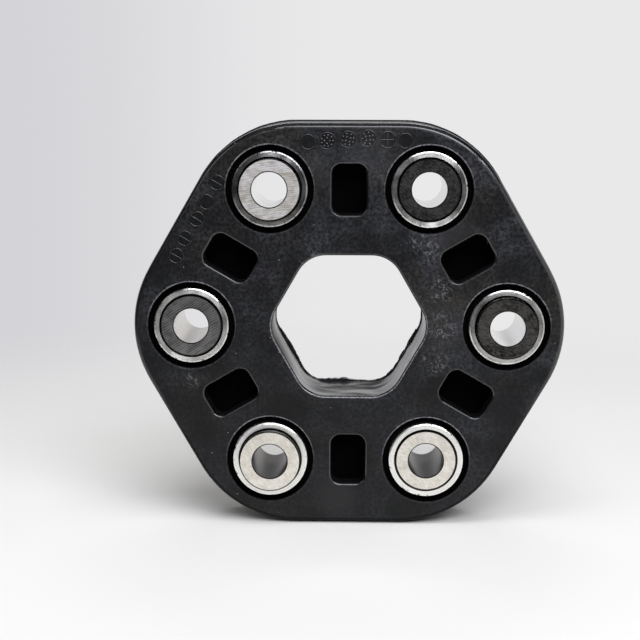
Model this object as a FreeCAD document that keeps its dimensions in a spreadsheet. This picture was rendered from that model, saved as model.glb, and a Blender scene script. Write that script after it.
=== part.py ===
"""Driveshaft flex disc: a moulded rubber coupling with six steel bushings on one bolt circle.

The disc stands on one of its flats. X runs to the right and Z up across the disc's face, the shaft
axis runs along Y, and the front looks towards -Y. The origin is the centre of the bolt circle, halfway
through the thickness. Every length is in millimetres and every angle in degrees.
"""

import FreeCAD, Part
import math
import os

import Sketcher

BUSHINGS = 6
PITCH = 360 / BUSHINGS
FRONT = -1
REAR = 1

SIZES = {
    "bolt_circle": 110.0,
    "body_thickness": 29.0,
    "rim_width": 23.25,
    "body_corner": 40.0,
    "wall_draft": 2.2,
    "bead_height": 0.25,
    "bead_land": 4.0,
    "rim_round": 2.1,
    "hole_flats": 49.5,
    "hole_corner": 11.0,
    "hole_round": 1.2,
    "pocket_width": 11.8,
    "pocket_length": 17.2,
    "pocket_corner": 3.2,
    "pocket_web": 5.0,
    "pocket_round": 1.2,
    "recess_gap": 2.15,
    "recess_depth": 4.0,
    "recess_round": 0.4,
    "bore_diameter": 12.1,
    "bore_chamfer": 0.3,
    "sleeve_diameter": 21.5,
    "sleeve_chamfer": 0.25,
    "sleeve_stand": 3.4,
    "sleeve_seat": 0.6,
    "hub_wall": 2.0,
    "hub_chamfer": 0.4,
    "hub_proud": 0.5,
    "seam_gap": 0.3,
    "seam_step": 0.5,
    "flange_reach": 2.95,
    "flange_thickness": 2.0,
    "flange_cover": 0.6,
    "loop_thickness": 3.6,
    "loop_gap": 0.6,
    "loop_edge": 0.8,
    "middle_loop_width": 6.4,
}

HALF = "@body_thickness / 2"
CHORD_RADIUS = f"@bolt_circle / 2 * cos({PITCH / 2})"
HALF_CHORD = f"@bolt_circle / 2 * sin({PITCH / 2})"
BODY_FLATS = f"2 * ({CHORD_RADIUS} + @rim_width)"
SLEEVE_RADIUS = "@sleeve_diameter / 2"
SEAM_RADIUS = f"{SLEEVE_RADIUS} + @seam_gap"
HUB_RADIUS = f"{SEAM_RADIUS} + @hub_wall"
FLANGE_RADIUS = f"{HUB_RADIUS} + @flange_reach"
RECESS_RADIUS = f"{HUB_RADIUS} + @recess_gap"
COLLAR_FACE = f"{HALF} + @hub_proud"
SEAM_FLOOR = f"{HALF} - @recess_depth + @seam_step"
FLANGE_OUT = f"{HALF} - @recess_depth - @flange_cover"
FLANGE_IN = f"{FLANGE_OUT} - @flange_thickness"
MIDDLE_LOOP = "@middle_loop_width / 2"
OUTER_LOOP_IN = f"{MIDDLE_LOOP} + @loop_gap"
OUTER_LOOP_OUT = f"{FLANGE_IN} - @loop_gap"

doc = FreeCAD.newDocument("flex_disc")


def make_sheet():
    """The driving dimensions, one row for each, with its name as the alias of its cell."""
    table = doc.addObject("Spreadsheet::Sheet", "sizes")
    for row, (name, value) in enumerate(SIZES.items(), start=1):
        table.set(f"A{row}", name)
        table.set(f"B{row}", str(value))
        table.setAlias(f"B{row}", name)
    doc.recompute()
    return table


sheet = make_sheet()


def bind(target, path, expression):
    """Ties a property to the sheet. A word of the sheet is written with a leading @."""
    target.setExpression(path, expression.replace("@", "sizes."))


def size(expression):
    """The present value of a sheet expression, to start a sketch from a solved state."""
    return float(sheet.evalExpression(expression.replace("@", "sizes.")))


def origin_feature(body, role):
    """The origin plane or axis of a body that has the given role."""
    return next(f for f in body.Origin.OriginFeatures if f.Role == role)


def new_body(name):
    """An empty body whose label is the name of its piece."""
    body = doc.addObject("PartDesign::Body", name)
    body.Label = name
    return body


def face_sketch(body, name, side=FRONT, level=None, up=None):
    """A sketch parallel to the disc's face, a level out from the middle and some way up from the axis."""
    sketch = body.newObject("Sketcher::SketchObject", name)
    sketch.AttachmentSupport = [(origin_feature(body, "XZ_Plane"), "")]
    sketch.MapMode = "FlatFace"
    if level:
        bind(sketch, "AttachmentOffset.Base.z", f"{-side} * ({level})")
    if up:
        bind(sketch, "AttachmentOffset.Base.y", up)
    return sketch


def add_constraint(sketch, name, expression, *arguments):
    """A named size in a sketch, tied to the sheet."""
    index = sketch.addConstraint(Sketcher.Constraint(*arguments, size(expression)))
    sketch.renameConstraint(index, name)
    bind(sketch, f"Constraints.{name}", expression)


def rounded_polygon(sketch, normals, distances, radius, label="side"):
    """A closed outline of straight sides with tangent arcs between them.

    Side i is the line whose outward normal points at normals[i] degrees, distances[i] from the origin.
    """
    count = len(normals)
    bend = size(radius)
    unit = [FreeCAD.Vector(math.cos(math.radians(a)), math.sin(math.radians(a)), 0) for a in normals]
    reach = [size(d) for d in distances]
    centres = []
    for i in range(count):
        j = (i + 1) % count
        turn = unit[i].x * unit[j].y - unit[i].y * unit[j].x
        a, b = reach[i] - bend, reach[j] - bend
        across = (a * unit[j].y - b * unit[i].y) / turn
        along = (b * unit[i].x - a * unit[j].x) / turn
        centres.append(FreeCAD.Vector(across, along, 0))
    lines, arcs = [], []
    for i in range(count):
        start, end = centres[i - 1] + unit[i] * bend, centres[i] + unit[i] * bend
        lines.append(sketch.addGeometry(Part.LineSegment(start, end), False))
    for i in range(count):
        first = math.radians(normals[i])
        last = math.radians(normals[(i + 1) % count])
        circle = Part.Circle(centres[i], FreeCAD.Vector(0, 0, 1), bend)
        arcs.append(sketch.addGeometry(Part.ArcOfCircle(circle, first, last), False))
    for i in range(count):
        sketch.addConstraint(Sketcher.Constraint("Tangent", lines[i], 2, arcs[i], 1))
        sketch.addConstraint(Sketcher.Constraint("Tangent", arcs[i], 2, lines[(i + 1) % count], 1))
    for i, angle in enumerate(normals):
        if angle % 180 == 90:
            sketch.addConstraint(Sketcher.Constraint("Horizontal", lines[i]))
        elif angle % 180 == 0:
            sketch.addConstraint(Sketcher.Constraint("Vertical", lines[i]))
        else:
            sketch.addConstraint(Sketcher.Constraint("Angle", lines[i], math.radians(angle + 90)))
        add_constraint(sketch, f"{label}_{i}", distances[i], "Distance", -1, 1, lines[i])
    add_constraint(sketch, f"{label}_bend", radius, "Radius", arcs[0])
    for arc in arcs[1:]:
        sketch.addConstraint(Sketcher.Constraint("Equal", arcs[0], arc))


def rounded_hexagon(sketch, flats, radius):
    """A hexagon with a flat at the top and bottom, its corners at the bushings."""
    normals = [PITCH * (i + 0.5) for i in range(BUSHINGS)]
    rounded_polygon(sketch, normals, [f"({flats}) / 2"] * BUSHINGS, radius)


def rounded_rectangle(sketch, width, height, radius):
    """A rectangle about the sketch's origin with round corners."""
    half = [f"({width}) / 2", f"({height}) / 2"]
    rounded_polygon(sketch, [0, 90, 180, 270], half * 2, radius)


def stadium(sketch, label, half_pitch, radius):
    """A closed outline round two centres on the sketch's X axis, half_pitch to each side of the origin."""
    half, bend, quarter = size(half_pitch), size(radius), math.pi / 2
    up = FreeCAD.Vector(0, 0, 1)
    left, right = FreeCAD.Vector(-half, 0, 0), FreeCAD.Vector(half, 0, 0)
    rise = FreeCAD.Vector(0, bend, 0)
    top = sketch.addGeometry(Part.LineSegment(right + rise, left + rise), False)
    left_end = sketch.addGeometry(Part.ArcOfCircle(Part.Circle(left, up, bend), quarter, 3 * quarter), False)
    low = sketch.addGeometry(Part.LineSegment(left - rise, right - rise), False)
    right_end = sketch.addGeometry(Part.ArcOfCircle(Part.Circle(right, up, bend), -quarter, quarter), False)
    for first, second in ((top, left_end), (left_end, low), (low, right_end), (right_end, top)):
        sketch.addConstraint(Sketcher.Constraint("Tangent", first, 2, second, 1))
    sketch.addConstraint(Sketcher.Constraint("Horizontal", top))
    sketch.addConstraint(Sketcher.Constraint("PointOnObject", right_end, 3, -1))
    add_constraint(sketch, f"{label}_bend", radius, "Radius", left_end)
    add_constraint(sketch, f"{label}_left", half_pitch, "DistanceX", left_end, 3, -1, 1)
    add_constraint(sketch, f"{label}_right", half_pitch, "DistanceX", -1, 1, right_end, 3)


def circle_at_bushing(sketch, radius):
    """A circle about the axis of the first bushing, the one on +X."""
    centre = FreeCAD.Vector(size("@bolt_circle / 2"), 0, 0)
    circle = Part.Circle(centre, FreeCAD.Vector(0, 0, 1), size(radius))
    ring = sketch.addGeometry(circle, False)
    sketch.addConstraint(Sketcher.Constraint("PointOnObject", ring, 3, -1))
    add_constraint(sketch, "place", "@bolt_circle / 2", "DistanceX", -1, 1, ring, 3)
    add_constraint(sketch, "bend", radius, "Radius", ring)


def stepped_profile(sketch, corners):
    """Half of a turned section: a closed outline of level and upright lines.

    Each corner is a pair of expressions, the radius and the place along the axis, and from one corner to
    the next only one of them changes.
    """
    points = [FreeCAD.Vector(size(x), size(y), 0) for x, y in corners]
    count = len(points)
    for i in range(count):
        sketch.addGeometry(Part.LineSegment(points[i], points[(i + 1) % count]), False)
    for i in range(count):
        sketch.addConstraint(Sketcher.Constraint("Coincident", i, 2, (i + 1) % count, 1))
    for i, (x, y) in enumerate(corners):
        upright = corners[(i + 1) % count][0] == x
        sketch.addConstraint(Sketcher.Constraint("Vertical" if upright else "Horizontal", i))
        if upright:
            add_constraint(sketch, f"radius_{i}", x, "Distance", -1, 1, i)
        else:
            add_constraint(sketch, f"level_{i}", f"abs({y})", "DistanceY", *axis_order(size(y), i))


def axis_order(value, line):
    """The two points of a vertical distance from the origin, in the order that makes it positive."""
    return (-1, 1, line, 1) if value >= 0 else (line, 1, -1, 1)


def revolve(body, sketch, name):
    """Turns a half section about the sleeve's axis."""
    turned = body.newObject("PartDesign::Revolution", name)
    turned.Profile = sketch
    turned.ReferenceAxis = (sketch, ["V_Axis"])
    turned.Angle = 360
    body.Tip = turned
    doc.recompute()
    return turned


def pad(body, sketch, name, length):
    """A plate of the sketch's outline, the same to both sides of it."""
    plate = body.newObject("PartDesign::Pad", name)
    plate.Profile = sketch
    plate.SideType = "Symmetric"
    bind(plate, "Length", length)
    body.Tip = plate
    doc.recompute()
    return plate


def cut_inwards(body, sketch, name, side, depth):
    """A blind cut from a face of the body towards its middle. It has to take material away."""
    before = body.Shape.Volume
    cut = body.newObject("PartDesign::Pocket", name)
    cut.Profile = sketch
    cut.Reversed = side == REAR
    bind(cut, "Length", depth)
    body.Tip = cut
    doc.recompute()
    if body.Shape.Volume >= before:
        raise ValueError(f"{name} cuts nothing")
    return cut


def cut_through(body, sketch, name):
    """A cut right through the body to both sides of the sketch. It has to take material away."""
    before = body.Shape.Volume
    cut = body.newObject("PartDesign::Pocket", name)
    cut.Profile = sketch
    cut.SideType = "Symmetric"
    cut.Type = "ThroughAll"
    body.Tip = cut
    doc.recompute()
    if body.Shape.Volume >= before:
        raise ValueError(f"{name} cuts nothing")
    return cut


def around(body, feature, name):
    """Repeats a feature at each bushing's pitch about the shaft axis."""
    pattern = body.newObject("PartDesign::PolarPattern", name)
    pattern.Originals = [feature]
    pattern.Axis = (origin_feature(body, "Y_Axis"), [""])
    pattern.Angle = 360
    pattern.Occurrences = BUSHINGS
    body.Tip = pattern
    doc.recompute()
    return pattern


def edges_where(shape, test):
    """The names of the edges whose every end and middle passes the test."""
    names = []
    for number, edge in enumerate(shape.Edges, start=1):
        middle = edge.valueAt((edge.FirstParameter + edge.LastParameter) / 2)
        points = [v.Point for v in edge.Vertexes] + [middle]
        if all(test(p) for p in points):
            names.append(f"Edge{number}")
    return names


def dress(body, kind, name, amount, test):
    """A fillet or a chamfer on the edges of the body that pass the test."""
    base = body.Tip
    edge = body.newObject(f"PartDesign::{kind}", name)
    edge.Base = (base, edges_where(base.Shape, test))
    bind(edge, "Radius" if kind == "Fillet" else "Size", amount)
    body.Tip = edge
    doc.recompute()
    return edge


def near(value, target, slack=0.01):
    """True where two lengths agree."""
    return abs(value - target) < slack


def radius_at(point):
    """The distance of a point from the shaft axis."""
    return math.hypot(point.x, point.z)


def bushing_place(number):
    """Angle of a bushing about the shaft axis, counted from +X towards the top."""
    return PITCH * (number - 1)


def place_at_bushing(body, number, side):
    """Moves a piece turned about its own Y to a bushing, with its front end towards the given side."""
    angle = bushing_place(number)
    turn = FreeCAD.Rotation(FreeCAD.Vector(0, 0, 1), 0 if side == FRONT else 180)
    body.Placement = FreeCAD.Placement(FreeCAD.Vector(0, 0, 0), turn)
    bind(body, "Placement.Base.x", f"@bolt_circle / 2 * cos({angle})")
    bind(body, "Placement.Base.z", f"@bolt_circle / 2 * sin({angle})")


def section_sketch(body, name):
    """A sketch through the body's own Y axis, for half of a turned section."""
    sketch = body.newObject("Sketcher::SketchObject", name)
    sketch.AttachmentSupport = [(origin_feature(body, "XY_Plane"), "")]
    sketch.MapMode = "FlatFace"
    return sketch


def make_sleeve(number):
    """A turned steel sleeve. It stands proud at the front in odd places and at the back in even ones."""
    body = new_body(f"sleeve_{number}")
    sketch = section_sketch(body, f"sleeve_section_{number}")
    inner, outer = "@bore_diameter / 2", SLEEVE_RADIUS
    front, back = f"-({COLLAR_FACE} + @sleeve_stand)", f"{COLLAR_FACE} + @sleeve_seat"
    stepped_profile(sketch, [(inner, front), (outer, front), (outer, back), (inner, back)])
    revolve(body, sketch, f"sleeve_turned_{number}")
    ends = (size(front), size(back))
    bore, skin = size(inner), size(outer)

    def at_end(p):
        return near(p.y, ends[0]) or near(p.y, ends[1])

    def at_bore(p):
        return at_end(p) and near(radius_at(p), bore)

    def at_skin(p):
        return at_end(p) and near(radius_at(p), skin)

    dress(body, "Chamfer", f"bore_chamfer_{number}", "@bore_chamfer", at_bore)
    dress(body, "Chamfer", f"sleeve_chamfer_{number}", "@sleeve_chamfer", at_skin)
    place_at_bushing(body, number, FRONT if number % 2 else REAR)
    return body


def make_collar(number, side):
    """A steel collar on the sleeve: a hub that shows at the face and a flange that guides the cords."""
    word = "front" if side == FRONT else "rear"
    body = new_body(f"{word}_collar_{number}")
    sketch = section_sketch(body, f"{word}_collar_section_{number}")
    face, seam_floor = f"-({COLLAR_FACE})", f"-({SEAM_FLOOR})"
    flange_out, flange_in = f"-({FLANGE_OUT})", f"-({FLANGE_IN})"
    stepped_profile(
        sketch,
        [
            (SEAM_RADIUS, face),
            (HUB_RADIUS, face),
            (HUB_RADIUS, flange_out),
            (FLANGE_RADIUS, flange_out),
            (FLANGE_RADIUS, flange_in),
            (SLEEVE_RADIUS, flange_in),
            (SLEEVE_RADIUS, seam_floor),
            (SEAM_RADIUS, seam_floor),
        ],
    )
    revolve(body, sketch, f"{word}_collar_turned_{number}")
    face_level, hub_radius = size(face), size(HUB_RADIUS)

    def at_rim(p):
        return near(p.y, face_level) and near(radius_at(p), hub_radius)

    dress(body, "Chamfer", f"{word}_hub_chamfer_{number}", "@hub_chamfer", at_rim)
    place_at_bushing(body, number, side)
    return body


def make_loop(name, number, inner_level, outer_level, side):
    """A bundle of cord wound round two neighbouring sleeves, number and the next, like a flat belt."""
    body = new_body(name)
    wound, laid = SLEEVE_RADIUS, f"{SLEEVE_RADIUS} + @loop_thickness"
    middle = f"(({inner_level}) + ({outer_level})) / 2"
    width = f"({outer_level}) - ({inner_level})"
    sketch = face_sketch(body, f"{name}_outline", side, middle)
    stadium(sketch, "wound", HALF_CHORD, wound)
    stadium(sketch, "laid", HALF_CHORD, laid)
    pad(body, sketch, f"{name}_band", width)
    half, skin = size(HALF_CHORD), size(laid)

    def at_outside(p):
        past = max(abs(p.x) - half, 0)
        return near(math.hypot(past, p.z), skin)

    dress(body, "Chamfer", f"{name}_edges", "@loop_edge", at_outside)
    angle = bushing_place(number) + PITCH / 2
    turn = FreeCAD.Rotation(FreeCAD.Vector(0, 1, 0), -(angle + 90))
    body.Placement = FreeCAD.Placement(FreeCAD.Vector(0, 0, 0), turn)
    bind(body, "Placement.Base.x", f"{CHORD_RADIUS} * cos({angle})")
    bind(body, "Placement.Base.z", f"{CHORD_RADIUS} * sin({angle})")
    return body


def make_loops():
    """Three layers of cord loops, so that the loops that share a sleeve lie side by side on it."""
    loops = []
    for number in range(1, BUSHINGS + 1):
        if number % 2:
            for word, side in (("front", FRONT), ("rear", REAR)):
                name = f"{word}_cord_loop_{number}"
                loops.append(make_loop(name, number, OUTER_LOOP_IN, OUTER_LOOP_OUT, side))
        else:
            name = f"middle_cord_loop_{number}"
            loops.append(make_loop(name, number, f"-({MIDDLE_LOOP})", MIDDLE_LOOP, FRONT))
    return loops


def form_walls(body):
    """The six-sided block, drafted from the middle to both faces, with the bead of the parting line."""
    outline = face_sketch(body, "bead_outline")
    rounded_hexagon(outline, f"{BODY_FLATS} + 2 * @bead_height", "@body_corner + @bead_height")
    pad(body, outline, "bead", "@bead_land + 2 * @bead_height")
    bead_edge = size("@bead_land / 2 + @bead_height")
    dress(body, "Chamfer", "bead_flanks", "@bead_height", lambda p: near(abs(p.y), bead_edge))

    outline = face_sketch(body, "wall_outline")
    rounded_hexagon(outline, BODY_FLATS, "@body_corner")
    walls = body.newObject("PartDesign::Pad", "drafted_walls")
    walls.Profile = outline
    walls.SideType = "Two sides"
    for length, taper in (("Length", "TaperAngle"), ("Length2", "TaperAngle2")):
        bind(walls, length, HALF)
        bind(walls, taper, "-@wall_draft")
    body.Tip = walls
    doc.recompute()


def form_openings(body):
    """The recesses about the bushings, the blind pockets, the sleeves' holes and the middle hole."""
    for side, word in ((FRONT, "front"), (REAR, "rear")):
        opening = face_sketch(body, f"{word}_recess_outline", side, HALF)
        circle_at_bushing(opening, RECESS_RADIUS)
        recess = cut_inwards(body, opening, f"{word}_recess", side, "@recess_depth")
        around(body, recess, f"{word}_recesses")

        opening = face_sketch(body, f"{word}_pocket_outline", side, HALF, CHORD_RADIUS)
        rounded_rectangle(opening, "@pocket_width", "@pocket_length", "@pocket_corner")
        pocket = cut_inwards(body, opening, f"{word}_pocket", side, f"{HALF} - @pocket_web / 2")
        around(body, pocket, f"{word}_pockets")

    opening = face_sketch(body, "sleeve_hole_outline")
    circle_at_bushing(opening, SLEEVE_RADIUS)
    around(body, cut_through(body, opening, "sleeve_hole"), "sleeve_holes")

    opening = face_sketch(body, "middle_hole_outline")
    rounded_hexagon(opening, "@hole_flats", "@hole_corner")
    cut_through(body, opening, "middle_hole")


def form_rounds(body):
    """The soft edges of the two faces: the rim, the middle hole, the pockets and the recesses."""
    half = size(HALF)
    bolt_radius, recess_radius = size("@bolt_circle / 2"), size(RECESS_RADIUS)
    rim_inside = size(f"({BODY_FLATS}) / 2 - {HALF} * tan(@wall_draft)")
    hole_outside = size("@hole_flats / 2") / math.cos(math.radians(PITCH / 2))

    def on_face(p):
        return near(abs(p.y), half)

    def at_recess(p):
        for number in range(1, BUSHINGS + 1):
            angle = math.radians(bushing_place(number))
            away = math.hypot(p.x - bolt_radius * math.cos(angle), p.z - bolt_radius * math.sin(angle))
            if near(away, recess_radius):
                return on_face(p)
        return False

    def at_rim(p):
        return on_face(p) and (radius_at(p) > rim_inside or near(radius_at(p), rim_inside))

    def at_hole(p):
        return on_face(p) and radius_at(p) < hole_outside

    def at_pocket(p):
        return on_face(p) and not at_recess(p) and not at_rim(p) and not at_hole(p)

    dress(body, "Fillet", "rim_rounds", "@rim_round", at_rim)
    dress(body, "Fillet", "hole_rounds", "@hole_round", at_hole)
    dress(body, "Fillet", "pocket_rounds", "@pocket_round", at_pocket)
    dress(body, "Fillet", "recess_rounds", "@recess_round", at_recess)


def make_form():
    """The rubber as the mould shapes it, before the steel and the cords take their room in it."""
    body = new_body("rubber_form")
    form_walls(body)
    form_openings(body)
    form_rounds(body)
    return body


def make_rubber(form, inserts):
    """The moulded rubber with the room that the steel and the cords take cut out of it."""
    together = doc.addObject("Part::MultiFuse", "inserts_together")
    together.Shapes = inserts
    rubber = doc.addObject("Part::Cut", "rubber_body")
    rubber.Base = form
    rubber.Tool = together
    rubber.Label = "rubber_body"
    doc.recompute()
    return rubber


def check_document(pieces):
    """Stops where an object has failed or a piece is not one valid solid."""
    for item in doc.Objects:
        if {"Invalid", "Error"} & set(item.State):
            raise ValueError(f"{item.Label} failed: {item.State}")
    for piece in pieces:
        shape = piece.Shape
        if shape.isNull() or not shape.isValid() or len(shape.Solids) != 1:
            raise ValueError(f"{piece.Label} is not one valid solid")


def main():
    """Builds every piece, checks it and writes it to its own file."""
    sleeves = [make_sleeve(number) for number in range(1, BUSHINGS + 1)]
    collars = [make_collar(number, side) for side in (FRONT, REAR) for number in range(1, BUSHINGS + 1)]
    loops = make_loops()
    inserts = sleeves + collars + loops
    rubber = make_rubber(make_form(), collars + loops)
    pieces = [rubber] + inserts
    doc.recompute()
    check_document(pieces)
    os.makedirs("parts", exist_ok=True)
    for piece in pieces:
        piece.Shape.exportStep(f"parts/{piece.Label}.step")
        print(piece.Label, round(piece.Shape.Volume / 1000, 3), "cm3")


main()
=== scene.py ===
"""Looks of the driveshaft flex disc: moulded rubber, six steel bushings and a pale studio.

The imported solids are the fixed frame. This file gives every one of them its material and adds the thin
things that a mould leaves behind: the flash of the parting lines and the marks of the mould's inserts.
X runs to the right, Y away from the camera along the shaft axis, and Z up. Lengths in the classes are in
millimetres, and meshes are in metres.
"""

import logging
import math
from collections.abc import Callable
from dataclasses import dataclass, field
from enum import Enum
from functools import partial

import bmesh
import bpy
import numpy as np
from bpy.types import Material, Node, NodeSocket as Socket, NodeTree as Tree, Object
from mathutils import Matrix, Vector


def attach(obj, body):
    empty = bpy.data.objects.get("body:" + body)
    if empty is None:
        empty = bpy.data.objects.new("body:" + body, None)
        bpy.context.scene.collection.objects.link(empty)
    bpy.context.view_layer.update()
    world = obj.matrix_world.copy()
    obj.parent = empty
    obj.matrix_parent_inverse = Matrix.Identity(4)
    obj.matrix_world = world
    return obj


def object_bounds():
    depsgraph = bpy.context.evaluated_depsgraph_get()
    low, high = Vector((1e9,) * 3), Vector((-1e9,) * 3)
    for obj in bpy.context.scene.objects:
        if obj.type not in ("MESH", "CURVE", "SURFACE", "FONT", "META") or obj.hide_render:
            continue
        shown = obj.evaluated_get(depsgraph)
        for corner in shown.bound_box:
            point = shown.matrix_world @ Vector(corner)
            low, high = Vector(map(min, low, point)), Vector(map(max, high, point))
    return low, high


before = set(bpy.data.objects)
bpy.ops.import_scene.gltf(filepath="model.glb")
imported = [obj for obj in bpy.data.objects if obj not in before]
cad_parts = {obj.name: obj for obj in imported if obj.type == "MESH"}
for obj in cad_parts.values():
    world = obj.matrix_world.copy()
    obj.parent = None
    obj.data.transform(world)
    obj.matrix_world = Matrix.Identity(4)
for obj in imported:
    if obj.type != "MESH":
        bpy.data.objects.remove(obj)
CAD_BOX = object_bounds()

MM = 0.001
BUSHINGS = 6
PITCH = 2 * math.pi / BUSHINGS
BOLT_RADIUS = 55.0
FACE_LEVEL = 14.5
RECESS_RADIUS = 15.2
FORWARDS = (0.0, -1.0, 0.0)
BACKWARDS = (0.0, 1.0, 0.0)
LOG = logging.getLogger("flex_disc")

# How far a roughness swings down and up from patch to patch.
GLOSS_SWING = (-0.05, 0.08)

# Settings that many nodes share.
SMOOTH = {"interpolation_type": "SMOOTHSTEP"}
TIMES = {"operation": "MULTIPLY"}
LESS = {"operation": "SUBTRACT", "use_clamp": True}

Pair = tuple[float, float]
Triple = tuple[float, float, float]
Colour = tuple[float, float, float, float]
Mesh = tuple[np.ndarray, np.ndarray]
Row = np.ndarray | Triple | float
Links = dict[int | str, object]
Add = Callable[..., Node]


def linear(code: str) -> Colour:
    """Turns an sRGB hex colour into the linear one that a shader takes.

    Args:
        code: The colour, written as #rrggbb.

    Returns:
        Linear red, green and blue, and an alpha of 1.
    """
    parts = [int(code[i:i + 2], 16) / 255 for i in (1, 3, 5)]
    red, green, blue = (p / 12.92 if p <= 0.04045 else ((p + 0.055) / 1.055) ** 2.4 for p in parts)
    return red, green, blue, 1.0


def feed(node: Node, links: Links) -> None:
    """Sets or joins inputs of a node.

    Args:
        node: The node that is fed.
        links: For an input, by name or number: its value, a hex colour, or the node or socket before it.
    """
    for key, value in links.items():
        if isinstance(value, (Node, Socket)):
            source = value.outputs[0] if isinstance(value, Node) else value
            node.id_data.links.new(source, node.inputs[key])
        else:
            node.inputs[key].default_value = linear(value) if isinstance(value, str) else value


def add_node(tree: Tree, kind: str, links: Links | None = None, **settings: object) -> Node:
    """Adds a shader node with its settings and joins its inputs.

    Args:
        tree: The node tree that gets the node.
        kind: The node's type, without the word that all shader nodes start with.
        links: What feeds its inputs.
        settings: Properties of the node.

    Returns:
        The new node.
    """
    made = tree.nodes.new(f"ShaderNode{kind}")
    for name, value in settings.items():
        setattr(made, name, value)
    feed(made, links or {})
    return made


def new_material(name: str) -> tuple[Material, Add, Node]:
    """Starts a material with one principled shader.

    Args:
        name: What the real material is.

    Returns:
        The material, what adds a node to its tree, and the shader.
    """
    material = bpy.data.materials.new(name)
    material.use_nodes = True
    tree = material.node_tree
    return material, partial(add_node, tree), tree.nodes["Principled BSDF"]


@dataclass(frozen=True)
class Around:
    """Where a point lies about the nearest bushing, as sockets of a node tree.

    The distance is in metres from the bushing's axis, the spoke is the unit vector from the axis to the
    point, and the rise is the spoke's Z.
    """

    near: Socket
    spoke: Socket
    rise: Socket


def around_bushing(add: Add, place: Socket) -> Around:
    """Finds the nearest bushing: the angle about the shaft is snapped to the pitch, which gives its axis.

    Args:
        add: Adds a node to the tree.
        place: Object coordinates.

    Returns:
        The point's place about that bushing.
    """
    x, _, z = add("SeparateXYZ", {0: place}).outputs
    angle = add("Math", {0: z, 1: x}, operation="ARCTAN2")
    turned = add("Math", {0: angle, 1: PITCH / 2}, operation="ADD")
    snapped = add("Math", {0: turned, 1: PITCH}, operation="SNAP")
    cosine = add("Math", {0: snapped}, operation="COSINE")
    sine = add("Math", {0: snapped}, operation="SINE")
    towards = add("CombineXYZ", {0: cosine, 2: sine})
    axis = add("VectorMath", {0: towards, "Scale": BOLT_RADIUS * MM}, operation="SCALE")
    across = add("CombineXYZ", {0: x, 2: z})
    offset = add("VectorMath", {0: across, 1: axis}, operation="SUBTRACT")
    near = add("VectorMath", {0: offset}, operation="LENGTH").outputs["Value"]
    spoke = add("VectorMath", {0: offset}, operation="NORMALIZE").outputs["Vector"]
    return Around(near, spoke, add("SeparateXYZ", {0: spoke}).outputs[2])


def band(add: Add, value: Socket, middle: float, inner: float, outer: float, most: float = 1.0) -> Node:
    """A soft band of a length: the most near its middle, and 0 away from it.

    Args:
        add: Adds a node to the tree.
        value: The length, in metres.
        middle: Where the band lies, in millimetres, as the next two are.
        inner: How far from the middle it still has the most.
        outer: How far from the middle it has faded out.
        most: Its highest value.

    Returns:
        The band's value.
    """
    off = add("Math", {0: value, 1: middle * MM}, operation="SUBTRACT")
    away = add("Math", {0: off}, operation="ABSOLUTE")
    return add("MapRange", {0: away, 1: inner * MM, 2: outer * MM, 3: most, 4: 0.0}, **SMOOTH)


def leaning(add: Add, way: Triple, amount: Node) -> Node:
    """Leans the surface's own direction some way and makes it a unit vector again.

    Args:
        add: Adds a node to the tree.
        way: The unit vector that is added to it.
        amount: How much of that is added.

    Returns:
        The new direction.
    """
    tilt = add("VectorMath", {0: way, "Scale": amount}, operation="SCALE")
    plain = add("NewGeometry").outputs["Normal"]
    both = add("VectorMath", {0: plain, 1: tilt}, operation="ADD")
    return add("VectorMath", {0: both}, operation="NORMALIZE")


def laid(add: Add, under: Socket | Node, colour: str, *masks: Node) -> Node:
    """Lays a colour over another where all of some masks let it through.

    Args:
        add: Adds a node to the tree.
        under: The colour below.
        colour: The colour on top, as a hex code.
        masks: Values from 0 to 1, to be multiplied.

    Returns:
        The colour of both.
    """
    share = masks[0]
    for mask in masks[1:]:
        share = add("Math", {0: share, 1: mask}, **TIMES)
    return add("MixRGB", {0: share, 1: under, 2: colour})


def mesh_piece(name: str, points: np.ndarray, quads: np.ndarray, material: Material) -> Object:
    """Makes an object of a mesh in millimetres and closes its seams and poles.

    Args:
        name: The piece's name.
        points: Its vertices, one row each.
        quads: Its faces, as rows of four vertex numbers.
        material: Its finish.

    Returns:
        The object, at the origin, unturned and unscaled.
    """
    mesh = bpy.data.meshes.new(name)
    mesh.from_pydata(points * MM, [], quads)
    work = bmesh.new()
    work.from_mesh(mesh)
    bmesh.ops.remove_doubles(work, verts=work.verts, dist=1e-7)
    bmesh.ops.dissolve_degenerate(work, edges=work.edges, dist=1e-8)
    bmesh.ops.recalc_face_normals(work, faces=work.faces)
    work.to_mesh(mesh)
    work.free()
    mesh.polygons.foreach_set("use_smooth", np.ones(len(mesh.polygons), bool))
    mesh.materials.append(material)
    piece = bpy.data.objects.new(name, mesh)
    bpy.context.scene.collection.objects.link(piece)
    return piece


def grid_quads(rows: int, columns: int, close_rows: bool, close_columns: bool) -> np.ndarray:
    """The faces of a grid of points, numbered row by row.

    Args:
        rows: How many rows of points there are.
        columns: How many points a row has.
        close_rows: Whether the last row joins the first.
        close_columns: Whether the last column joins the first.

    Returns:
        Rows of four point numbers.
    """
    i = np.arange(rows if close_rows else rows - 1)[:, None]
    j = np.arange(columns if close_columns else columns - 1)[None, :]
    right, down = (j + 1) % columns, (i + 1) % rows
    corners = [i * columns + j, i * columns + right, down * columns + right, down * columns + j]
    return np.stack([np.broadcast_to(c, (i.size, j.size)) for c in corners], -1).reshape(-1, 4)


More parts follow.
